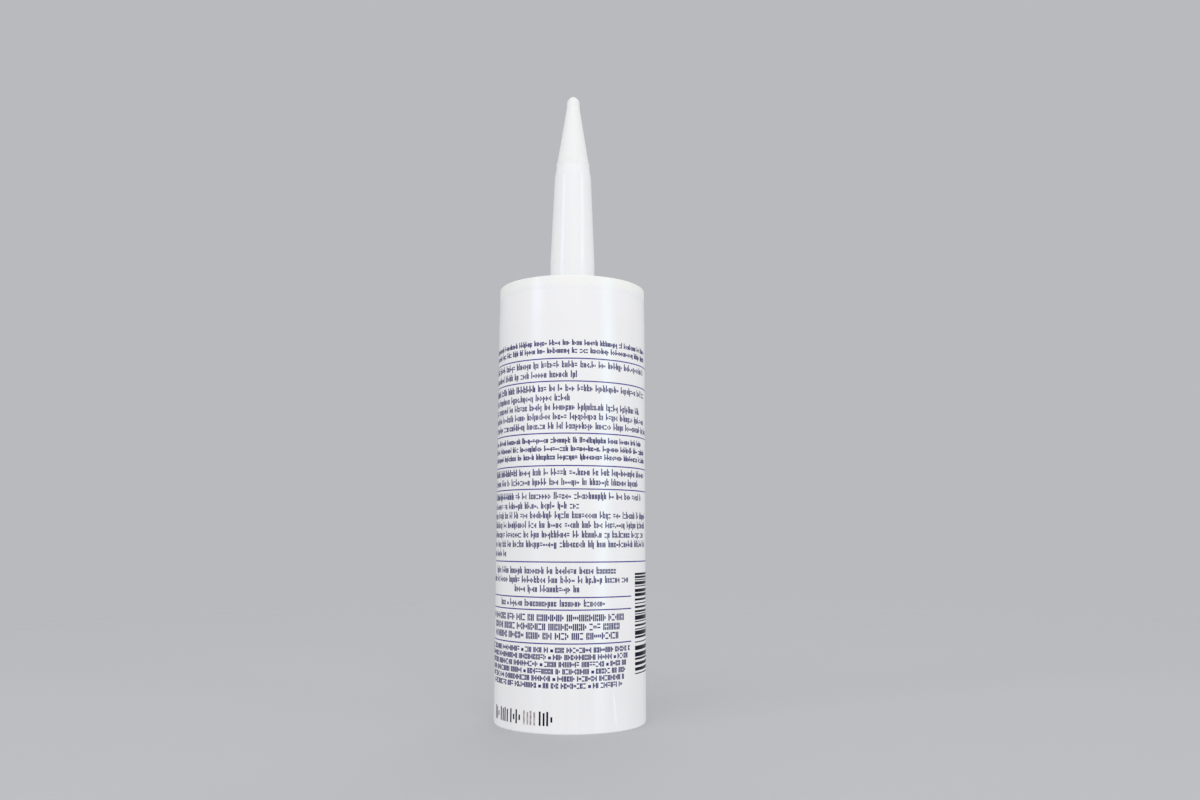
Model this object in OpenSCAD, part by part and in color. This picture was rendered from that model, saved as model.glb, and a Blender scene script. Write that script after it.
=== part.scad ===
// Cartridge of sealant for a caulking gun: an extruded plastic barrel, a welded-on
// head with its closed nozzle, a foil seal, the sealant, and the plunger behind it.
// It stands on its rear rim, its axis along Z and its nozzle up, and the origin is
// the centre of the rear rim. Every outline below is a list of [radius, height]
// points that is turned about Z.

/* [Barrel] */
// Outside diameter of the barrel, which sets the gun that it fits
barrel_d = 49.6; // [44:0.1:56]
// Thickness of the barrel's wall
barrel_wall = 1.3; // [1:0.05:1.8]
// Length of the barrel, from its rear rim to the weld seam
barrel_l = 138.8; // [90:0.1:220]
// How far the weld draws the barrel in at the seam, on the radius
neck_in = 0.15; // [0.05:0.01:0.3]
// Length behind the seam over which the barrel draws in
neck_l = 7.8; // [3:0.1:15]
// Bevel on both edges of the cut rear rim
rear_bevel = 0.3; // [0.1:0.05:0.4]
// Bevel on each side of the weld seam, which leaves a fine groove
seam_bevel = 0.04; // [0.02:0.01:0.2]

/* [Head] */
// Height of the head's rim, from the weld seam to the front rim
rim_h = 4.3; // [3.8:0.1:8]
// Thickness of the head's rim at the front
rim_t = 2; // [1.6:0.1:3]
// Draft on the inside of the rim, on the radius
rim_draft = 0.15; // [0:0.05:0.3]
// Round on the outer edge of the front rim
rim_round = 0.4; // [0.2:0.05:0.6]
// Bevel on the inner edge of the front rim
rim_bevel = 0.25; // [0.1:0.05:0.5]
// Thickness of the end wall between the rim and the nozzle
end_wall_t = 1.9; // [1.2:0.1:2.4]
// Length of the plug that centres the head in the barrel
plug_l = 5; // [3:0.1:10]
// Thickness of the plug's wall
plug_wall = 2; // [1:0.1:2.5]
// Gap between the plug and the barrel's bore, on the radius
plug_gap = 0.05; // [0.02:0.01:0.1]
// Bevel that leads the plug into the barrel
plug_bevel = 0.5; // [0.2:0.1:0.8]
// Number of ribs in the recess round the nozzle
head_ribs = 8; // [4:1:12]
// Thickness of those ribs
head_rib_t = 1.2; // [0.8:0.1:2]
// How far those ribs stop below the front rim
head_rib_drop = 0.5; // [0.2:0.1:0.8]

/* [Nozzle] */
// Diameter of the nozzle's straight base, which passes through the gun's slot
nozzle_d = 15.2; // [14:0.1:18]
// Height of the top of the straight base above the front rim
nozzle_base_h = 10.5; // [6:0.1:20]
// Extra thickness of the collar round the nozzle's root
collar_t = 0.8; // [0.4:0.1:1.5]
// Length of the long, slow taper
taper_l = 30.1; // [15:0.1:50]
// Diameter at the top of the long taper
waist_d = 12.65; // [12:0.05:13.9]
// Length of the shoulder above the long taper
shoulder_l = 3.6; // [1:0.1:8]
// Diameter of the short parallel land, where the mould's two halves met
land_d = 11.5; // [11.2:0.05:11.9]
// Length of the parallel land
land_l = 1.5; // [0.5:0.1:4]
// Length of the small step from the land to the steep cone
step_l = 0.3; // [0.1:0.05:0.8]
// Diameter at the foot of the steep cone
cone_d = 11; // [9:0.05:11.1]
// Length of the steep cone
cone_l = 20.5; // [10:0.1:40]
// Diameter of the tip above the steep cone
tip_d = 4.5; // [4:0.1:8]
// Length of the nearly straight tip
tip_l = 2.1; // [1.5:0.1:10]
// How much narrower the tip gets along its length, on the radius
tip_draft = 0.05; // [0:0.01:0.2]
// Height of the closed end of the tip
dome_h = 2.1; // [1.5:0.1:5]
// Fullness of the closed end, from 1 for a plain bevel to 2 for a round dome
dome_power = 1.5; // [1:0.1:2]
// Thickness of the nozzle's wall
nozzle_wall = 1.4; // [0.8:0.1:1.6]
// Thickness of plastic that closes the tip
tip_cap = 2.6; // [1.5:0.1:2.9]

/* [Inner seal] */
// Width of the raised land that the foil is sealed to, round the nozzle's bore
seal_land_w = 3; // [2:0.1:5]
// Height of that land
seal_land_h = 0.6; // [0.3:0.1:1]
// Thickness of the foil
foil_t = 0.15; // [0.1:0.05:0.3]
// How far the foil's edge stops short of the land's edge
foil_trim = 0.2; // [0:0.1:0.8]

/* [Plunger] */
// How far the plunger's rear edge sits inside the rear rim
setback = 7; // [4:0.5:60]
// Height of the plunger's skirt, from its rear edge to its front lip
skirt_h = 16; // [14:0.5:24]
// Thickness of the skirt
skirt_wall = 1.4; // [1.2:0.1:2]
// Running clearance of the sealing lips in the bore, on the radius
lip_gap = 0.08; // [0.02:0.01:0.1]
// Height of each sealing lip
lip_h = 2.6; // [1.5:0.1:3.5]
// Depth of the relief between the lips, on the radius
relief = 0.6; // [0.3:0.1:0.8]
// Bevel on the edges of the skirt
skirt_bevel = 0.4; // [0.2:0.1:0.6]
// Depth of the clear cup that takes the gun's push disc
cup_l = 6; // [3:0.5:8]
// Depth of the channel that frees the front lip
channel_l = 2.2; // [1:0.1:3]
// Thickness of the front lip at its edge
lip_t = 0.8; // [0.5:0.1:1]
// Height of the nose above the front lip
nose_h = 3.6; // [1:0.1:4]
// Gap between the nose and the head's plug, on the radius
nose_gap = 0.6; // [0.3:0.1:1.2]
// Draft on the side of the nose, on the radius
nose_draft = 0.15; // [0:0.05:0.2]
// Bevel round the front of the nose
nose_bevel = 0.8; // [0.3:0.1:1.5]
// Thickness of the web across the nose
web_t = 1.8; // [1:0.1:3]
// Number of radial ribs behind the web
plunger_ribs = 8; // [3:1:12]
// Thickness of those ribs
plunger_rib_t = 1.2; // [0.8:0.1:2]
// Outside diameter of the hub ring that the ribs meet
hub_d = 13; // [10:0.5:24]
// Thickness of the hub ring
hub_wall = 1.3; // [0.8:0.1:2]

/* [Sealant] */
// Gap between the sealant and the walls round it
fill_gap = 0.15; // [0.05:0.05:0.3]

/* [Hidden] */
$fn = 128;
// How far a rib runs into the wall that carries it
bite = 0.4;
// Steps round a small edge and round the closed end of the tip
arc_steps = 5;
dome_steps = 10;

barrel_r = barrel_d / 2;
bore_r = barrel_r - barrel_wall;
seam_r = barrel_r - neck_in;

front_z = barrel_l + rim_h;
floor_z = barrel_l + end_wall_t;
rim_in_r = seam_r - rim_t;
plug_r = bore_r - plug_gap;
plug_in_r = plug_r - plug_wall;
plug_z = barrel_l - plug_l;

nozzle_r = nozzle_d / 2;
nozzle_bore_r = nozzle_r - nozzle_wall;
collar_r = nozzle_r + collar_t;
base_z = front_z + nozzle_base_h;
waist_z = base_z + taper_l;
land_z = waist_z + shoulder_l;
step_z = land_z + land_l;
cone_z = step_z + step_l;
tip_z = cone_z + cone_l;
dome_z = tip_z + tip_l;
top_z = dome_z + dome_h;
cap_z = top_z - tip_cap;

seal_land_r = nozzle_bore_r + seal_land_w;
seal_land_z = barrel_l - seal_land_h;
foil_z = seal_land_z - foil_t;

lip_r = bore_r - lip_gap;
relief_r = lip_r - relief;
cup_r = lip_r - skirt_wall;
skirt_in_r = relief_r - skirt_wall;
ledge_z = setback + skirt_bevel + cup_l;
lip_z = setback + skirt_h;
channel_z = lip_z - channel_l;
nose_r = plug_in_r - nose_gap;
nose_in_r = nose_r - skirt_wall;
nose_z = lip_z + nose_h;
web_z = nose_z - web_t;
hub_r = hub_d / 2;

// Points along an arc about [r, z]
function arc(r, z, radius, from, to) =
  [for (i = [0:arc_steps])
    let (a = from + (to - from) * i / arc_steps)
    [r + radius * cos(a), z + radius * sin(a)]];

// Points up the closed end of the tip, from above its foot to the axis
function dome(r, z, h) =
  [for (i = [1:dome_steps])
    let (a = 90 * i / dome_steps)
    [r * pow(cos(a), 2 / dome_power), z + h * pow(sin(a), 2 / dome_power)]];

// Flat ribs round the axis, each cut to one outline of [radius, height] points
module ribs(count, thickness, outline) {
  for (i = [0:count - 1])
    rotate([90, 0, 360 * i / count])
      linear_extrude(height = thickness, center = true)
        polygon(outline);
}

module barrel() {
  outline = [
    [bore_r + rear_bevel, 0],
    [barrel_r - rear_bevel, 0],
    [barrel_r, rear_bevel],
    [barrel_r, barrel_l - neck_l],
    [seam_r, barrel_l - seam_bevel],
    [seam_r - seam_bevel, barrel_l],
    [bore_r, barrel_l],
    [bore_r, rear_bevel],
  ];
  color([0.93, 0.94, 0.955])
    rotate_extrude()
      polygon(outline);
}

// The plug, the rim and the recess in front of the end wall, up to the nozzle's root
function head_outside() = concat(
  [
    [plug_in_r, plug_z],
    [plug_r - plug_bevel, plug_z],
    [plug_r, plug_z + plug_bevel],
    [plug_r, barrel_l],
    [seam_r - seam_bevel, barrel_l],
    [seam_r, barrel_l + seam_bevel],
  ],
  arc(seam_r - rim_round, front_z - rim_round, rim_round, 0, 90),
  [
    [rim_in_r + rim_bevel, front_z],
    [rim_in_r, front_z - rim_bevel],
    [rim_in_r - rim_draft, floor_z],
    [collar_r, floor_z],
    [collar_r, front_z],
  ]
);

// The nozzle from its root to its closed end
function nozzle_outside() = concat(
  [
    [nozzle_r, front_z + collar_t],
    [nozzle_r, base_z],
    [waist_d / 2, waist_z],
    [land_d / 2, land_z],
    [land_d / 2, step_z],
    [cone_d / 2, cone_z],
    [tip_d / 2, tip_z],
    [tip_d / 2 - tip_draft, dome_z],
  ],
  dome(tip_d / 2 - tip_draft, dome_z, dome_h)
);

// The nozzle's bore, down from the closed end, and the land that the foil is sealed to
function head_inside() = [
  [0, cap_z],
  [tip_d / 2 - nozzle_wall, cap_z],
  [tip_d / 2 - nozzle_wall, tip_z],
  [cone_d / 2 - nozzle_wall, cone_z],
  [land_d / 2 - nozzle_wall, land_z],
  [waist_d / 2 - nozzle_wall, waist_z],
  [nozzle_bore_r, base_z],
  [nozzle_bore_r, seal_land_z],
  [seal_land_r, seal_land_z],
  [seal_land_r, barrel_l],
  [plug_in_r, barrel_l],
];

module nozzle_head() {
  rib_outline = [
    [collar_r - bite, floor_z - bite],
    [rim_in_r + bite, floor_z - bite],
    [rim_in_r + bite, front_z - head_rib_drop],
    [collar_r - bite, front_z - head_rib_drop],
  ];
  color([0.95, 0.95, 0.945])
    union() {
      rotate_extrude()
        polygon(concat(head_outside(), nozzle_outside(), head_inside()));
      ribs(head_ribs, head_rib_t, rib_outline);
    }
}

module inner_seal() {
  color([0.78, 0.79, 0.8])
    translate([0, 0, foil_z])
      cylinder(h = foil_t, r = seal_land_r - foil_trim);
}

// The front of the plunger: a nose that fills the head's plug, and the channel round it
plunger_front = [
  [0, nose_z],
  [nose_r - nose_draft - nose_bevel, nose_z],
  [nose_r - nose_draft, nose_z - nose_bevel],
  [nose_r, channel_z],
  [lip_r - lip_t, channel_z],
  [lip_r - lip_t, lip_z],
];

// The outside of the skirt, with a sealing lip at each end of the relief
plunger_side = [
  [lip_r, lip_z],
  [lip_r, lip_z - lip_h],
  [relief_r, lip_z - lip_h - relief],
  [relief_r, setback + lip_h + relief],
  [lip_r, setback + lip_h],
  [lip_r, setback + skirt_bevel],
  [lip_r - skirt_bevel, setback],
];

// The hollow behind: the cup for the push disc, its ledge, and the back of the web
plunger_back = [
  [cup_r + skirt_bevel, setback],
  [cup_r, setback + skirt_bevel],
  [cup_r, ledge_z],
  [skirt_in_r, ledge_z],
  [skirt_in_r, channel_z - web_t],
  [nose_in_r, channel_z - web_t],
  [nose_in_r, web_z],
  [0, web_z],
];

module plunger() {
  rib_outline = [
    [hub_r - bite, ledge_z],
    [skirt_in_r + bite, ledge_z],
    [skirt_in_r + bite, channel_z - web_t + bite],
    [nose_in_r + bite, channel_z - web_t + bite],
    [nose_in_r + bite, web_z + bite],
    [hub_r - bite, web_z + bite],
  ];
  color([0.9, 0.905, 0.89])
    union() {
      rotate_extrude()
        polygon(concat(plunger_front, plunger_side, plunger_back));
      ribs(plunger_ribs, plunger_rib_t, rib_outline);
      translate([0, 0, ledge_z])
        difference() {
          cylinder(h = web_z + bite - ledge_z, r = hub_r);
          translate([0, 0, -bite])
            cylinder(h = web_z - ledge_z + bite, r = hub_r - hub_wall);
        }
    }
}

module sealant() {
  outline = [
    [0, nose_z + fill_gap],
    [nose_r + fill_gap, nose_z + fill_gap],
    [nose_r + fill_gap, lip_z + fill_gap],
    [bore_r - fill_gap, lip_z + fill_gap],
    [bore_r - fill_gap, plug_z - fill_gap],
    [plug_in_r - fill_gap, plug_z - fill_gap],
    [plug_in_r - fill_gap, barrel_l - fill_gap],
    [seal_land_r + fill_gap, barrel_l - fill_gap],
    [seal_land_r + fill_gap, foil_z - fill_gap],
    [0, foil_z - fill_gap],
  ];
  color([0.36, 0.37, 0.38])
    rotate_extrude()
      polygon(outline);
}

barrel();
nozzle_head();
inner_seal();
plunger();
sealant();
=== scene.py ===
# Dresses a caulk tube: printed ink, plastics, foil and sealant on the fixed model, in a plain studio.
# Lengths are in millimetres until they are multiplied by MM, but those of the floor, the lamps and the
# camera's clipping are in metres. Angles round the tube are in degrees, 0 at the middle of the printed
# side (-Y) and positive to its right (+X).
import math
import random
from collections import namedtuple

import bpy
from mathutils import Matrix, Quaternion, Vector


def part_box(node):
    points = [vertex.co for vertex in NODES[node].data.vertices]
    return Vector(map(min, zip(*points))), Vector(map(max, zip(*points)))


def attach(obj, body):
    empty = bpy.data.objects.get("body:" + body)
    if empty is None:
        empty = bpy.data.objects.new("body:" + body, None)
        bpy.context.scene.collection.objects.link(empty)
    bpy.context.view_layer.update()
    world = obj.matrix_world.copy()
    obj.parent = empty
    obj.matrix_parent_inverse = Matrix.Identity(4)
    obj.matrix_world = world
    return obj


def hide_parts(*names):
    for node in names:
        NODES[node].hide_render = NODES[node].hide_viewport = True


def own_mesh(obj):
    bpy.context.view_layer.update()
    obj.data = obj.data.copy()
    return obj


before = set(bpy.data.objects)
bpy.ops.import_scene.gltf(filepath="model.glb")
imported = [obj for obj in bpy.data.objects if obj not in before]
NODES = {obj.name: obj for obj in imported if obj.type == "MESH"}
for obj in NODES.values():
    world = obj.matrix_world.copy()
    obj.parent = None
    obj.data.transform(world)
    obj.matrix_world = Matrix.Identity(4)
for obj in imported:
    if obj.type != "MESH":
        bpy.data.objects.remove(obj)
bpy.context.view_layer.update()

SCENE = bpy.context.scene
MM = 0.001

# Sizes that the model's boxes give
BARREL_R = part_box("barrel")[1].x / MM
SEAM_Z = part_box("barrel")[1].z / MM
SEALANT_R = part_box("sealant")[1].x / MM
SEALANT_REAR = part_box("sealant")[0].z / MM
SEALANT_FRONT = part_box("sealant")[1].z / MM
PLUNGER_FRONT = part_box("plunger")[1].z / MM
FOIL_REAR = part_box("inner_seal")[0].z / MM
FOIL_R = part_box("inner_seal")[1].x / MM

# Sizes of the head that the boxes don't give: the height of its rim above the seam, and of the top of
# the nozzle's short parallel land above the rim
RIM_H = 4.3
LAND_H = 45.7
FRONT_Z = SEAM_Z + RIM_H
LAND_Z = FRONT_Z + LAND_H


# Meshes

# Edges sharper than this many degrees stay sharp
CREASE = 30
# Flat steps round a full circle
ROUND_STEPS = 96


def new_piece(name, points, faces, material, body="cartridge"):
    """Makes a mesh piece from points in millimetres, which rides on a body if one is given."""
    mesh = bpy.data.meshes.new(name)
    mesh.from_pydata([Vector(point) * MM for point in points], [], faces)
    mesh.shade_smooth()
    mesh.set_sharp_from_angle(angle=math.radians(CREASE))
    mesh.materials.append(material)
    piece = bpy.data.objects.new(name, mesh)
    SCENE.collection.objects.link(piece)
    if body:
        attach(piece, body)
    return piece


def ring(radius, height):
    """Points evenly round the Z axis at one height."""
    angles = [2 * math.pi * step / ROUND_STEPS for step in range(ROUND_STEPS)]
    return [(radius * math.cos(angle), radius * math.sin(angle), height) for angle in angles]


def lathe(outline):
    """Turns an outline of [radius, height] points, which starts and ends on the axis, about Z."""
    points = [(0, 0, outline[0][1]), (0, 0, outline[-1][1])]
    first_ring = len(points)
    for radius, height in outline[1:-1]:
        points += ring(radius, height)
    last_ring = len(points) - ROUND_STEPS
    faces = []
    for step in range(ROUND_STEPS):
        after = (step + 1) % ROUND_STEPS
        faces.append((0, first_ring + after, first_ring + step))
        for low in range(first_ring, last_ring, ROUND_STEPS):
            high = low + ROUND_STEPS
            faces.append((low + step, low + after, high + after, high + step))
        faces.append((1, last_ring + step, last_ring + after))
    return points, faces


# Node materials

# Most values of a noise texture lie between these
NOISE_LOW = 0.3
NOISE_HIGH = 0.7
# Refractive index of polyethylene
PLASTIC_IOR = 1.51


def node(tree, kind, inputs=None, **settings):
    """Adds a shader node. Each input takes a constant or is linked to another node's socket."""
    made = tree.nodes.new("ShaderNode" + kind)
    for name, value in settings.items():
        setattr(made, name, value)
    for name, value in (inputs or {}).items():
        if isinstance(value, bpy.types.NodeSocket):
            tree.links.new(value, made.inputs[name])
        else:
            made.inputs[name].default_value = value
    return made


def new_material(name, roughness, metallic=0.0, ior=1.5):
    """A material with one Principled shader. Returns it with its tree and the shader."""
    material = bpy.data.materials.new(name)
    material.use_nodes = True
    tree = material.node_tree
    shader = tree.nodes["Principled BSDF"]
    shader.inputs["Roughness"].default_value = roughness
    shader.inputs["Metallic"].default_value = metallic
    shader.inputs["IOR"].default_value = ior
    return material, tree, shader


def linear(red, green, blue):
    """A colour as an sRGB screen shows it, 0 to 255, in the linear values that shaders take."""
    def straighten(value):
        share = value / 255
        return share / 12.92 if share <= 0.04045 else ((share + 0.055) / 1.055) ** 2.4
    return (straighten(red), straighten(green), straighten(blue), 1.0)


def place_in_frame(tree):
    """The shaded point's place in the model's frame, in metres."""
    return node(tree, "TexCoord").outputs["Object"]


def height_in_frame(tree):
    """The shaded point's height above the rear rim, in metres."""
    return node(tree, "SeparateXYZ", {0: place_in_frame(tree)}).outputs["Z"]


def noise(tree, across, along, detail=2.0):
    """Noise with grains of a size across the tube and another along its axis, in millimetres."""
    scale = (1 / (across * MM), 1 / (across * MM), 1 / (along * MM))
    inputs = {0: place_in_frame(tree), 1: scale}
    scaled = node(tree, "VectorMath", inputs, operation="MULTIPLY").outputs[0]
    return node(tree, "TexNoise", {"Vector": scaled, "Scale": 1.0, "Detail": detail}).outputs[0]


def ramp(tree, value, low, high, at_low=0.0, at_high=1.0):
    """A number that goes smoothly from at_low to at_high while value goes from low to high."""
    inputs = {"Value": value, "From Min": low, "From Max": high, "To Min": at_low, "To Max": at_high}
    return node(tree, "MapRange", inputs, interpolation_type="SMOOTHSTEP").outputs[0]


def spread(tree, texture, at_low=0.0, at_high=1.0):
    """A number that follows a noise texture, from at_low in its lows to at_high in its highs."""
    return ramp(tree, texture, NOISE_LOW, NOISE_HIGH, at_low, at_high)


def maths(tree, operation, *values):
    """One operation on numbers or sockets."""
    return node(tree, "Math", dict(enumerate(values)), operation=operation).outputs[0]


def mix_colours(tree, share, first, second):
    """The first colour where share is 0 and the second where it is 1."""
    made = node(tree, "Mix", data_type="RGBA")
    for name, value in (("Factor_Float", share), ("A_Color", first), ("B_Color", second)):
        socket = next(s for s in made.inputs if s.identifier == name)
        if isinstance(value, bpy.types.NodeSocket):
            tree.links.new(value, socket)
        else:
            socket.default_value = value
    return next(s for s in made.outputs if s.identifier == "Result_Color")


def set_surface(tree, shader, tone, roughness, relief=()):
    """Links a colour and a roughness to a shader, and lays layers of relief on it, each a texture and
    its depth in millimetres."""
    tree.links.new(tone, shader.inputs["Base Color"])
    tree.links.new(roughness, shader.inputs["Roughness"])
    normal = None
    for texture, depth in relief:
        inputs = {"Height": texture, "Strength": 1.0, "Distance": depth * MM}
        if normal:
            inputs["Normal"] = normal
        normal = node(tree, "Bump", inputs).outputs[0]
    if normal:
        tree.links.new(normal, shader.inputs["Normal"])


# The one scuff that shows on the printed side, with a painted highlight along it: its place across the
# tube at the height of the rear rim, its lean per millimetre of height, its width, and its ends with the
# lengths over which it fades
SCUFF_GLINT_X = 14.2
SCUFF_GLINT_LEAN = -0.09
SCUFF_GLINT_WIDTH = 0.9
SCUFF_GLINT_LOW = 1.5
SCUFF_GLINT_HIGH = 13
SCUFF_GLINT_FADE_LOW = 3
SCUFF_GLINT_FADE_HIGH = 4
# Depth in front of the axis over which it ends, so that the far side has none
SCUFF_GLINT_FADE_BACK = 1
# How much its painted highlight hides the plastic's colour, and how much rougher the scuff is
PAINTED_GLINT_COVER = 0.7
SCUFF_ROUGHNESS = 0.2


def scuff_and_glint(tree):
    """1 along the slanted scuff and its painted highlight near the rear rim, and 0 elsewhere."""
    place = node(tree, "SeparateXYZ", {0: place_in_frame(tree)}).outputs
    line = maths(tree, "MULTIPLY_ADD", place["Z"], SCUFF_GLINT_LEAN, SCUFF_GLINT_X * MM)
    away = maths(tree, "ABSOLUTE", maths(tree, "SUBTRACT", place["X"], line))
    near = ramp(tree, away, 0.0, SCUFF_GLINT_WIDTH * MM / 2, 1.0, 0.0)
    above = ramp(tree, place["Z"], SCUFF_GLINT_LOW * MM, (SCUFF_GLINT_LOW + SCUFF_GLINT_FADE_LOW) * MM)
    below = ramp(tree, place["Z"], (SCUFF_GLINT_HIGH - SCUFF_GLINT_FADE_HIGH) * MM, SCUFF_GLINT_HIGH * MM, 1.0, 0.0)
    in_front = ramp(tree, place["Y"], -SCUFF_GLINT_FADE_BACK * MM, 0.0, 1.0, 0.0)
    ends = maths(tree, "MULTIPLY", above, below)
    return maths(tree, "MULTIPLY", maths(tree, "MULTIPLY", near, ends), in_front)


BARREL_WHITE = linear(240, 240, 242)
BARREL_CLOUD = linear(237, 237, 239)
BARREL_FLOW = linear(231, 232, 237)
# Lighter colour painted along the scuff as a highlight
PAINTED_GLINT_WHITE = linear(248, 249, 250)
# The flow streaks: the height up to which they are whole, the height from which they are weakest, the
# share that is left there, and how much they hide the plastic's colour
FLOW_WHOLE_Z = 4
FLOW_WEAK_Z = 30
FLOW_LEFT = 0.25
FLOW_COVER = 0.35
# Depths of the lines along the tube and of the fine grain
DIE_LINE_DEPTH = 0.0025
GRAIN_DEPTH = 0.001


def barrel_plastic():
    """Extruded white polyethylene: a soft gloss with faint lines along the tube."""
    material, tree, shader = new_material("barrel_plastic", roughness=0.3, ior=PLASTIC_IOR)
    die_lines = noise(tree, across=1.1, along=90, detail=3.0)
    flow = noise(tree, across=3.5, along=160)
    clouds = noise(tree, across=18, along=30)
    grain = noise(tree, across=0.5, along=0.7)
    up = height_in_frame(tree)
    near_rear = ramp(tree, up, FLOW_WHOLE_Z * MM, FLOW_WEAK_Z * MM, 1.0, FLOW_LEFT)
    streaks = maths(tree, "MULTIPLY", ramp(tree, flow, low=0.35, high=0.68), near_rear)
    scuff_and_glint_mask = scuff_and_glint(tree)
    tone = mix_colours(tree, spread(tree, clouds), BARREL_WHITE, BARREL_CLOUD)
    tone = mix_colours(tree, maths(tree, "MULTIPLY", streaks, FLOW_COVER), tone, BARREL_FLOW)
    # Painted highlight: the scuff's line is made lighter than the plastic
    tone = mix_colours(tree, maths(tree, "MULTIPLY", scuff_and_glint_mask, PAINTED_GLINT_COVER), tone, PAINTED_GLINT_WHITE)
    roughness = ramp(tree, die_lines, low=0.25, high=0.75, at_low=0.2, at_high=0.27)
    roughness = maths(tree, "ADD", roughness, maths(tree, "MULTIPLY", scuff_and_glint_mask, SCUFF_ROUGHNESS))
    relief = [(die_lines, DIE_LINE_DEPTH), (grain, GRAIN_DEPTH)]
    set_surface(tree, shader, tone, roughness, relief)
    return material


SEAM_WHITE = linear(239, 239, 241)
RIM_WHITE = linear(242, 243, 240)
NOZZLE_WHITE = linear(236, 237, 239)
CONE_WHITE = linear(234, 234, 234)
HEAD_CLOUD = linear(235, 236, 238)
# A little sheen stands for the light that soaks through the head's thin edges
HEAD_SHEEN = 0.2
# Heights over which the head's finish changes: above the seam, above the rim, and below and above the
# top of the nozzle's land
SEAM_FADE = 3
RIM_FADE = 1
CONE_FADE_LOW = 3
CONE_FADE_HIGH = 1
# Roughness at the seam, where the rim has the barrel's finish, and on the rim. The nozzle is smoother
# than the rim by one amount, and its cone is rougher than the nozzle by another
SEAM_ROUGHNESS = 0.24
RIM_ROUGHNESS = 0.3
NOZZLE_SMOOTHER = 0.135
CONE_ROUGHER = 0.36
# Depths of the texture of the dull parts and of the faint drag lines along the head
DULL_TEXTURE_DEPTH = 0.01
DRAG_LINE_DEPTH = 0.002


def head_plastic():
    """Moulded white polyethylene: dull on the rim, glossier on the nozzle, matt on its upper cone."""
    material, tree, shader = new_material("head_plastic", roughness=0.35, ior=PLASTIC_IOR)
    shader.inputs["Sheen Weight"].default_value = HEAD_SHEEN
    up = height_in_frame(tree)
    above_seam = ramp(tree, up, SEAM_Z * MM, (SEAM_Z + SEAM_FADE) * MM)
    above_rim = ramp(tree, up, FRONT_Z * MM, (FRONT_Z + RIM_FADE) * MM)
    on_cone = ramp(tree, up, (LAND_Z - CONE_FADE_LOW) * MM, (LAND_Z + CONE_FADE_HIGH) * MM)
    clouds = noise(tree, across=6, along=14)
    texture = noise(tree, across=0.28, along=0.28, detail=3.0)
    drag_lines = noise(tree, across=0.7, along=40)
    tone = mix_colours(tree, above_seam, SEAM_WHITE, RIM_WHITE)
    tone = mix_colours(tree, above_rim, tone, NOZZLE_WHITE)
    tone = mix_colours(tree, on_cone, tone, CONE_WHITE)
    tone = mix_colours(tree, ramp(tree, clouds, low=0.35, high=0.7, at_high=0.5), tone, HEAD_CLOUD)
    roughness = ramp(tree, above_seam, 0.0, 1.0, SEAM_ROUGHNESS, RIM_ROUGHNESS)
    smoother = ramp(tree, above_rim, 0.0, 1.0, 0.0, NOZZLE_SMOOTHER)
    rougher = ramp(tree, on_cone, 0.0, 1.0, 0.0, CONE_ROUGHER)
    roughness = maths(tree, "SUBTRACT", roughness, smoother)
    roughness = maths(tree, "ADD", roughness, rougher)
    roughness = maths(tree, "ADD", roughness, spread(tree, clouds, at_low=-0.03, at_high=0.05))
    on_rim = maths(tree, "MULTIPLY", above_seam, maths(tree, "SUBTRACT", 1.0, above_rim))
    dull = maths(tree, "MAXIMUM", on_cone, on_rim)
    dull_texture = maths(tree, "MULTIPLY", texture, dull)
    relief = [(dull_texture, DULL_TEXTURE_DEPTH), (drag_lines, DRAG_LINE_DEPTH)]
    set_surface(tree, shader, tone, roughness, relief)
    return material


PLUNGER_WHITE = linear(233, 233, 226)
PLUNGER_CLOUD = linear(226, 227, 219)
PLUNGER_TEXTURE_DEPTH = 0.008


def plunger_plastic():
    """Natural polyethylene: milky, a little warmer than the barrel, with a fine moulded texture."""
    material, tree, shader = new_material("plunger_plastic", roughness=0.45, ior=PLASTIC_IOR)
    clouds = noise(tree, across=7, along=7)
    texture = noise(tree, across=0.3, along=0.3, detail=3.0)
    tone = mix_colours(tree, spread(tree, clouds), PLUNGER_WHITE, PLUNGER_CLOUD)
    roughness = spread(tree, clouds, at_low=0.4, at_high=0.52)
    set_surface(tree, shader, tone, roughness, [(texture, PLUNGER_TEXTURE_DEPTH)])
    return material


FOIL_LIGHT = linear(226, 227, 230)
FOIL_DARK = linear(205, 206, 210)
FOIL_CREASE_DEPTH = 0.05


def foil_metal():
    """Satin aluminium foil with the small creases of a heat-sealed disc."""
    material, tree, shader = new_material("foil_metal", roughness=0.35, metallic=1.0)
    creases = noise(tree, across=1.6, along=1.6, detail=4.0)
    tone = mix_colours(tree, creases, FOIL_LIGHT, FOIL_DARK)
    roughness = spread(tree, creases, at_low=0.28, at_high=0.42)
    set_surface(tree, shader, tone, roughness, [(creases, FOIL_CREASE_DEPTH)])
    return material


PASTE_LIGHT = linear(100, 102, 105)
PASTE_DARK = linear(90, 92, 95)
SWIRL_DEPTH = 0.15


def sealant_paste():
    """Grey silicone paste, satin, with the soft swirls of its filling."""
    material, tree, shader = new_material("sealant_paste", roughness=0.4, ior=1.41)
    swirls = noise(tree, across=9, along=5, detail=4.0)
    tone = mix_colours(tree, swirls, PASTE_LIGHT, PASTE_DARK)
    roughness = spread(tree, swirls, at_low=0.34, at_high=0.48)
    set_surface(tree, shader, tone, roughness, [(swirls, SWIRL_DEPTH)])
    return material


# Each ink: its colour, its colour where it is thin, and its gloss, where 0.5 is that of plastic
INKS = {
    "ink_text": (linear(28, 23, 94), linear(42, 36, 116), 0.8),
    "ink_rules": (linear(44, 38, 136), linear(56, 50, 152), 0.9),
    "ink_barcode": (linear(10, 6, 28), linear(20, 15, 40), 0.05),
    "ink_date": (linear(18, 12, 40), linear(28, 22, 52), 0.05),
    "ink_worn": (linear(150, 140, 142), linear(205, 198, 196), 0.5),
}


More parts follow.
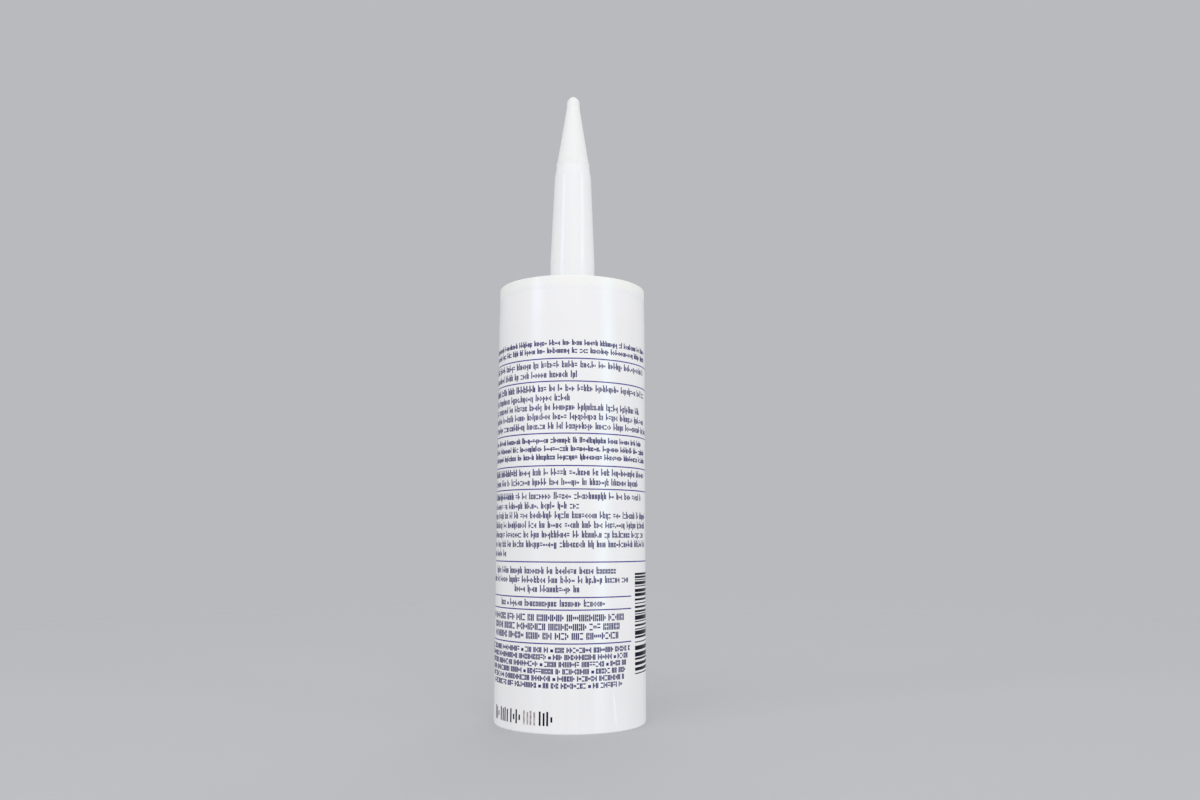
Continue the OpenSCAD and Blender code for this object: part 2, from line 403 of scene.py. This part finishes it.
def ink(name):
    """One of the printing inks, thinner in small patches."""
    colour, thin, gloss = INKS[name]
    material, tree, shader = new_material(name, roughness=0.25)
    shader.inputs["Specular IOR Level"].default_value = gloss
    patches = noise(tree, across=0.9, along=0.9, detail=3.0)
    tone = mix_colours(tree, ramp(tree, patches, low=0.35, high=0.75), colour, thin)
    roughness = spread(tree, patches, at_low=0.21, at_high=0.29)
    set_surface(tree, shader, tone, roughness)
    return material


# Printed matter, as thin curved bars of ink

# How far a bar's faces lie outside and inside the barrel's surface
INK_PROUD = 0.015
INK_SUNK = 0.1
# The longest stretch of a bar that is flat
FLAT_L = 1.2
# Each printed piece that is drawn at random starts from this seed, or one or two above it
SEED = 20


class Print:
    """Gathers bars of ink that lie on the barrel, and makes one piece of them."""

    def __init__(self):
        self.points = []
        self.faces = []

    def bar(self, left, right, low, high):
        """A bar between two places round the barrel, measured along its surface, and two heights."""
        segments = max(1, math.ceil((right - left) / FLAT_L))
        first = len(self.points)
        for step in range(segments + 1):
            angle = (left + (right - left) * step / segments) / BARREL_R
            for radius in (BARREL_R + INK_PROUD, BARREL_R - INK_SUNK):
                for level in (low, high):
                    self.points.append((radius * math.sin(angle), -radius * math.cos(angle), level))
        # Each step has four points: low and high outside, then low and high inside
        last = first + 4 * segments
        for here in range(first, last, 4):
            there = here + 4
            self.faces.append((here, there, there + 1, here + 1))
            self.faces.append((here + 2, here + 3, there + 3, there + 2))
            self.faces.append((here, here + 2, there + 2, there))
            self.faces.append((here + 1, there + 1, there + 3, here + 3))
        self.faces.append((first, first + 1, first + 3, first + 2))
        self.faces.append((last, last + 2, last + 3, last + 1))

    def make(self, name, ink_name):
        """Makes the piece in one ink, from all the bars gathered so far."""
        new_piece(name, self.points, self.faces, ink(ink_name))


def arc(angle):
    """The distance along the barrel's surface from the middle of the printed side to an angle."""
    return math.radians(angle) * BARREL_R


# Sizes of the marks that stand for type: height of a low and of a tall mark, thickness of a bar,
# gap between a mark's bars, space between marks, how far a hanging bar goes below the row, and
# the share of marks with level bars
Style = namedtuple("Style", ["low", "tall", "bar", "gap", "space", "hang", "level"])
TYPE = {
    "body": Style(1.48, 2.2, 0.35, 0.09, 0.22, 0.5, 0.08),
    "small": Style(1.26, 1.85, 0.36, 0.06, 0.14, 0.4, 0.08),
    "capitals": Style(2.05, 2.05, 0.42, 0.18, 0.24, 0, 0.1),
    "small capitals": Style(1.62, 1.62, 0.36, 0.09, 0.17, 0, 0.1),
    "date": Style(3.8, 4.2, 0.6, 0.7, 0.55, 0, 0),
}
# Shares of a low mark's height: the length of a split bar's parts and of a bar cut to its middle, the
# height to which the lower of two level bars may be raised, and the side of a square bullet
BAR_PART = 0.42
LEVEL_RAISED = 0.3
BULLET = 0.55
# Gap between words as a share of a tall mark's height, and how many times thicker bold bars are
WORD_GAP = 0.37
BOLD = 1.3
# Shares of marks that are tall inside a word, of bars that hang, and of marks with one bar alone
TALL_SHARE = 0.22
HANG_SHARE = 0.07
SINGLE_SHARE = 0.14
# What is drawn from at random, with what is common given more than once
BAR_KINDS = ["whole", "whole", "whole", "split", "middle", "middle"]
WORD_LENGTHS = [2, 2, 3, 3, 4, 5, 5, 6, 7, 8, 9, 11]


def strokes(rng, size, weight, tall):
    """The bars of one mark, as left, right, low and high, and the mark's width."""
    bar = size.bar * weight
    low = size.low
    part = low * BAR_PART
    width = 2 * bar + size.gap
    if rng.random() < size.level:
        level = rng.choice([0, low * LEVEL_RAISED])
        return [(0, width, level, level + bar), (0, width, low - bar, low)], width
    bars = []
    for count, left in enumerate((0, bar + size.gap)):
        right = left + bar
        kind = rng.choice(BAR_KINDS)
        if tall and count == 0:
            bars.append((left, right, 0, size.tall))
        elif size.hang and rng.random() < HANG_SHARE:
            bars.append((left, right, -size.hang, low))
        elif kind == "whole":
            bars.append((left, right, 0, low))
        elif kind == "split":
            bars.append((left, right, 0, part))
            bars.append((left, right, low - part, low))
        else:
            bars.append((left, right, (low - part) / 2, (low + part) / 2))
    if rng.random() < SINGLE_SHARE:
        return bars[:1], bar
    return bars, width


def word(target, rng, style, length, place, right, base, weight=1.0, capital=False):
    """One word's marks from a place round the barrel, or as many as fit. Returns where they end."""
    size = TYPE[style]
    for mark in range(length):
        tall = capital or mark == 0 or rng.random() < TALL_SHARE
        bars, width = strokes(rng, size, weight, tall)
        if place + width > right:
            return right
        for from_left, to_right, low, high in bars:
            target.bar(place + from_left, place + to_right, base + low, base + high)
        place += width + size.space
    return place


def row(target, rng, style, middle, left, right, bold_end=None, bullets=()):
    """A row of words between two places round the barrel, centred on a height. Words that start before
    bold_end are bold, and bullets gives the words that a square mark follows."""
    size = TYPE[style]
    base = middle - size.low / 2
    word_gap = size.tall * WORD_GAP
    place = left
    count = 0
    while place < right - size.low / 2:
        bold = bold_end is not None and place < bold_end
        length = rng.choice(WORD_LENGTHS)
        weight = BOLD if bold else 1.0
        place = word(target, rng, style, length, place, right, base, weight, capital=bold) + word_gap
        count += 1
        if count in bullets and place + size.low < right:
            edge = size.low * BULLET
            target.bar(place, place + edge, base + size.space, base + size.space + edge)
            place += edge + word_gap


# Angles of the label's left edge, of the right ends of its rules and of the middle of its centred
# blocks
LEFT_MARGIN = -88
RIGHT_MARGIN = 105
SHORT_RULE_END = 50
CENTRE = -18.5
# Each block: style, height of its top row, step between rows, angles where its rows end, and angle
# where its opening bold words end, if it has some
BLOCKS = [
    ("small", 120.7, 2.54, [77, 76], None),
    ("body", 113.6, 3.15, [72, 5], -68),
    ("body", 106.0, 3.0, [73, -2, 64, 75, 80], -38),
    ("small", 89.5, 2.64, [67, 76, 75], None),
    ("body", 79.4, 3.04, [75, 61], -64),
    ("body", 72.0, 2.99, [66, 5, 76, 76, 72, 75, -57], -50),
]
# Each centred block: style, height of its top row, step between rows, widths of its rows in degrees,
# and the words of a row that bullets follow
CENTRED_BLOCKS = [
    ("body", 48.9, 2.8, [111, 133, 55], ()),
    ("body", 38.95, 2.8, [90], (1,)),
    ("capitals", 34.8, 2.76, [125, 115, 115], ()),
    ("small capitals", 25.1, 2.13, [133, 132, 129, 126, 123, 117], (3, 6)),
]
# Heights of the rules that reach the right margin, and of those that end before the bar code
LONG_RULES = [115.8, 108.5, 91.9, 81.7, 74.4, 51.8]
SHORT_RULES = [41.0, 37.2, 27.0]
RULE_T = 0.36


def print_text():
    """Every row of the label, with its text replaced by plain marks."""
    rng = random.Random(SEED)
    target = Print()
    for style, top, step, ends, bold_angle in BLOCKS:
        for line, end in enumerate(ends):
            bold_end = arc(bold_angle) if line == 0 and bold_angle is not None else None
            row(target, rng, style, top - line * step, arc(LEFT_MARGIN), arc(end), bold_end)
    for style, top, step, widths, bullets in CENTRED_BLOCKS:
        for line, width in enumerate(widths):
            left = arc(CENTRE - width / 2)
            right = arc(CENTRE + width / 2)
            row(target, rng, style, top - line * step, left, right, bullets=bullets)
    target.make("print_text", "ink_text")


def print_rules():
    """The fine rules between the blocks."""
    target = Print()
    for heights, end in ((LONG_RULES, RIGHT_MARGIN), (SHORT_RULES, SHORT_RULE_END)):
        for height in heights:
            target.bar(arc(LEFT_MARGIN), arc(end), height - RULE_T / 2, height + RULE_T / 2)
    target.make("print_rules", "ink_rules")


# The bar code's lowest and highest points and its angles, how many of its finest bars would fill it,
# and the thicknesses and gaps, in finest bars, that are drawn from at random
BARCODE_LOW = 16.6
BARCODE_HIGH = 48.5
BARCODE_LEFT = 55
BARCODE_RIGHT = 84
BARCODE_MODULES = 95
BARCODE_BARS = [1, 1, 1, 2, 2, 3, 4]
BARCODE_GAPS = [1, 1, 2, 2, 3]


def print_barcode():
    """A block of bars in the manner of a bar code, with widths that code nothing."""
    rng = random.Random(SEED + 1)
    target = Print()
    module = (BARCODE_HIGH - BARCODE_LOW) / BARCODE_MODULES
    place = 0
    while place < BARCODE_MODULES:
        thick = min(rng.choice(BARCODE_BARS), BARCODE_MODULES - place)
        low = BARCODE_LOW + place * module
        target.bar(arc(BARCODE_LEFT), arc(BARCODE_RIGHT), low, low + thick * module)
        place += thick + rng.choice(BARCODE_GAPS)
    target.make("print_barcode", "ink_barcode")


# The date stamp: the height of its foot, the angles where it starts and where it ends at the latest, its
# groups, the marks in each, the gap between them, and which group, counted from 0, is half worn off
DATE_BASE = 2.5
DATE_LEFT = -72
DATE_RIGHT = 0
DATE_GROUPS = 5
DATE_MARKS = 2
DATE_GAP = 0.7
WORN_GROUP = 3


def print_date():
    """The row of larger black marks that a date stamp leaves, with one group half worn off."""
    rng = random.Random(SEED + 2)
    fresh = Print()
    worn = Print()
    place = arc(DATE_LEFT)
    right = arc(DATE_RIGHT)
    for group in range(DATE_GROUPS):
        target = worn if group == WORN_GROUP else fresh
        end = word(target, rng, "date", DATE_MARKS, place, right, DATE_BASE, capital=group > 0)
        place = end + DATE_GAP
    fresh.make("print_date", "ink_date")
    worn.make("print_date_worn", "ink_worn")


# The sealant

# Its clearance all round
FILL_GAP = 0.15
# Radius of the plunger's nose, which presses a hollow in its rear, and inner radius and length of the
# head's plug, which its front end fills
NOSE_R = 20.85
PLUG_IN_R = 21.45
PLUG_L = 5
# How far the foil's edge stops short of the edge of the land that it is sealed to
FOIL_TRIM = 0.2


def sealant():
    """The filling, hollow for the plunger's nose at its rear, and stepped at its front to go inside the
    head's plug and round the foil's land."""
    hollow_r = NOSE_R + FILL_GAP
    plug_end_r = PLUG_IN_R - FILL_GAP
    step_z = SEAM_Z - PLUG_L - FILL_GAP
    centre_low = PLUNGER_FRONT + FILL_GAP
    centre_high = FOIL_REAR - FILL_GAP
    land_r = FOIL_R + FOIL_TRIM + FILL_GAP
    outline = [
        [0, centre_low],
        [hollow_r, centre_low],
        [hollow_r, SEALANT_REAR],
        [SEALANT_R, SEALANT_REAR],
        [SEALANT_R, step_z],
        [plug_end_r, step_z],
        [plug_end_r, SEALANT_FRONT],
        [land_r, SEALANT_FRONT],
        [land_r, centre_high],
        [0, centre_high],
    ]
    points, faces = lathe(outline)
    piece = new_piece("sealant_fill", points, faces, sealant_paste())
    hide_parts("sealant")
    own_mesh(piece)


# Camera, floor and light

# The camera's place in millimetres, its turn in radians and its focal length in the photograph's
# pixels, all from a fit to the outlines of the barrel and the nozzle
CAMERA_PLACE = (-4.22, -350.24, 58.72)
CAMERA_PITCH = -0.1335
CAMERA_YAW = -0.03951
CAMERA_ROLL = 0.00174
FOCAL_PIXELS = 1039.47
PHOTO_WIDTH = 1200
SENSOR_WIDTH = 36.0
CLIP_NEAR = 0.01
CLIP_FAR = 50


def make_camera():
    """The camera of the photograph, as far as one without lens distortion can stand for it."""
    data = bpy.data.cameras.new("camera")
    data.sensor_width = SENSOR_WIDTH
    data.lens = FOCAL_PIXELS * SENSOR_WIDTH / PHOTO_WIDTH
    data.clip_start = CLIP_NEAR
    data.clip_end = CLIP_FAR
    camera = bpy.data.objects.new("camera", data)
    # Rows of the level camera: right, down and forward
    level = Matrix(((1, 0, 0), (0, 0, -1), (0, 1, 0)))
    turn = Matrix.Rotation(CAMERA_ROLL, 3, "Z") @ Matrix.Rotation(CAMERA_PITCH, 3, "X")
    right, down, forward = turn @ Matrix.Rotation(CAMERA_YAW, 3, "Y") @ level
    axes = Matrix((right, -down, -forward)).transposed().to_4x4()
    camera.matrix_world = Matrix.Translation(Vector(CAMERA_PLACE) * MM) @ axes
    SCENE.collection.objects.link(camera)
    SCENE.camera = camera


BACKGROUND = linear(184, 186, 190)
FLOOR_COLOUR = linear(192, 194, 197)
FLOOR_GLOSS = 0.2
# The floor's radius, the distance from the axis where it starts to fade, and the share of its radius
# at which it is gone
FLOOR_R = 0.9
FADE_FROM = 0.1
FADE_TO = 0.95


def make_floor():
    """A round floor that fades into the background, and can be seen through from below."""
    points = [(0, 0, 0)] + ring(FLOOR_R / MM, 0)
    faces = [(0, 1 + step, 1 + (step + 1) % ROUND_STEPS) for step in range(ROUND_STEPS)]
    material, tree, shader = new_material("floor", roughness=0.8)
    shader.inputs["Base Color"].default_value = FLOOR_COLOUR
    shader.inputs["Specular IOR Level"].default_value = FLOOR_GLOSS
    away = node(tree, "VectorMath", {0: place_in_frame(tree)}, operation="LENGTH").outputs["Value"]
    faded = ramp(tree, away, FADE_FROM, FLOOR_R * FADE_TO)
    below = node(tree, "NewGeometry").outputs["Backfacing"]
    clear = maths(tree, "MAXIMUM", faded, below)
    window = node(tree, "BsdfTransparent").outputs[0]
    both = node(tree, "MixShader", {0: clear, 1: shader.outputs[0], 2: window}).outputs[0]
    tree.links.new(both, tree.nodes["Material Output"].inputs["Surface"])
    floor = new_piece("floor", points, faces, material, body=None)
    floor.visible_diffuse = False
    floor.visible_glossy = False
    floor.visible_shadow = False


WHITE = (1.0, 1.0, 1.0)
# Strength of the even white light from all round
AMBIENT = 0.69


def make_world():
    """Even light from all round, with the pale background seen by the camera, in gloss and through
    clear things."""
    world = bpy.data.worlds.new("studio")
    world.use_nodes = True
    tree = world.node_tree
    tree.nodes.clear()
    path = node(tree, "LightPath").outputs
    seen = maths(tree, "MAXIMUM", path["Is Camera Ray"], path["Is Glossy Ray"])
    seen = maths(tree, "MAXIMUM", seen, path["Is Transmission Ray"])
    light = node(tree, "Background", {"Color": (*WHITE, 1.0), "Strength": AMBIENT}).outputs[0]
    backdrop = node(tree, "Background", {"Color": BACKGROUND, "Strength": 1.0}).outputs[0]
    both = node(tree, "MixShader", {0: seen, 1: light, 2: backdrop}).outputs[0]
    output = node(tree, "OutputWorld")
    tree.links.new(both, output.inputs["Surface"])
    SCENE.world = world


def softbox(name, azimuth, distance, low, high, width, power, lean=0.0, tint=WHITE, in_gloss=False):
    """A tall soft lamp at an angle round the tube, turned to its axis, with its top leaning away from
    the printed side by some degrees. It lights without a reflection, or with in_gloss it is a
    reflection alone."""
    data = bpy.data.lights.new(name, "AREA")
    data.shape = "RECTANGLE"
    data.size = width
    data.size_y = high - low
    data.energy = power
    data.color = tint
    lamp = bpy.data.objects.new(name, data)
    angle = math.radians(azimuth)
    lamp.location = (distance * math.sin(angle), -distance * math.cos(angle), (low + high) / 2)
    facing = Vector((-lamp.location.x, -lamp.location.y, 0))
    leaning = Quaternion((0, 0, 1), -math.copysign(math.radians(lean), azimuth))
    lamp.rotation_mode = "QUATERNION"
    lamp.rotation_quaternion = facing.to_track_quat("-Z", "Y") @ leaning
    lamp.visible_glossy = in_gloss
    lamp.visible_diffuse = not in_gloss
    SCENE.collection.objects.link(lamp)


# How far the leaning strips stand from the tube's axis, and the tints of their reflections
STRIP_DISTANCE = 1.4
LEFT_TINT = (0.42, 0.68, 1.0)
RIGHT_TINT = (0.45, 0.87, 1.0)
HIGH_TINT = (0.85, 0.92, 1.0)
# Each leaning strip: name, angle round the tube, lowest and highest point, width, lean, power of its
# light, and power and tint of its reflection, which is a streak along the barrel or the nozzle
STRIPS = [
    ("strip_left", -55, -0.15, 0.5, 0.22, 26, 0.75, 1.1, LEFT_TINT),
    ("strip_high", -57, 0.5, 0.9, 0.3, 6, 1.6, 2.5, LEFT_TINT),
    ("strip_high_right", 56, 0.4, 1.0, 0.18, -55, 0, 0.8, HIGH_TINT),
    ("strip_right", 51, -0.28, 0.6, 0.3, 34, 2.5, 3.1, RIGHT_TINT),
]


def make_lights():
    """Leaning strips, and soft fills that gloss doesn't show."""
    for name, azimuth, low, high, width, lean, power, streak, tint in STRIPS:
        place = (azimuth, STRIP_DISTANCE, low, high, width)
        if power:
            softbox(name, *place, power, lean)
        softbox(name + "_streak", *place, streak, lean, tint, in_gloss=True)
    softbox("side", azimuth=72, distance=1.2, low=-0.4, high=0.5, width=0.8, power=0.95)
    softbox("back", azimuth=170, distance=1.5, low=0.3, high=1.5, width=1.6, power=6.0)
    softbox("fill", azimuth=-8, distance=0.8, low=0.5, high=1.3, width=1.2, power=5.1)


# The whole scene

# What makes the material of each of the model's solids that is shown
FINISHES = {
    "barrel": barrel_plastic,
    "nozzle_head": head_plastic,
    "inner_seal": foil_metal,
    "plunger": plunger_plastic,
}


def main():
    """Sets the studio up, gives the model's solids their materials, and adds filling and print."""
    SCENE.view_settings.view_transform = "Standard"
    make_camera()
    make_floor()
    make_world()
    make_lights()
    for name, finish in FINISHES.items():
        NODES[name].material_slots[0].material = finish()
    sealant()
    print_rules()
    print_text()
    print_barcode()
    print_date()


main()
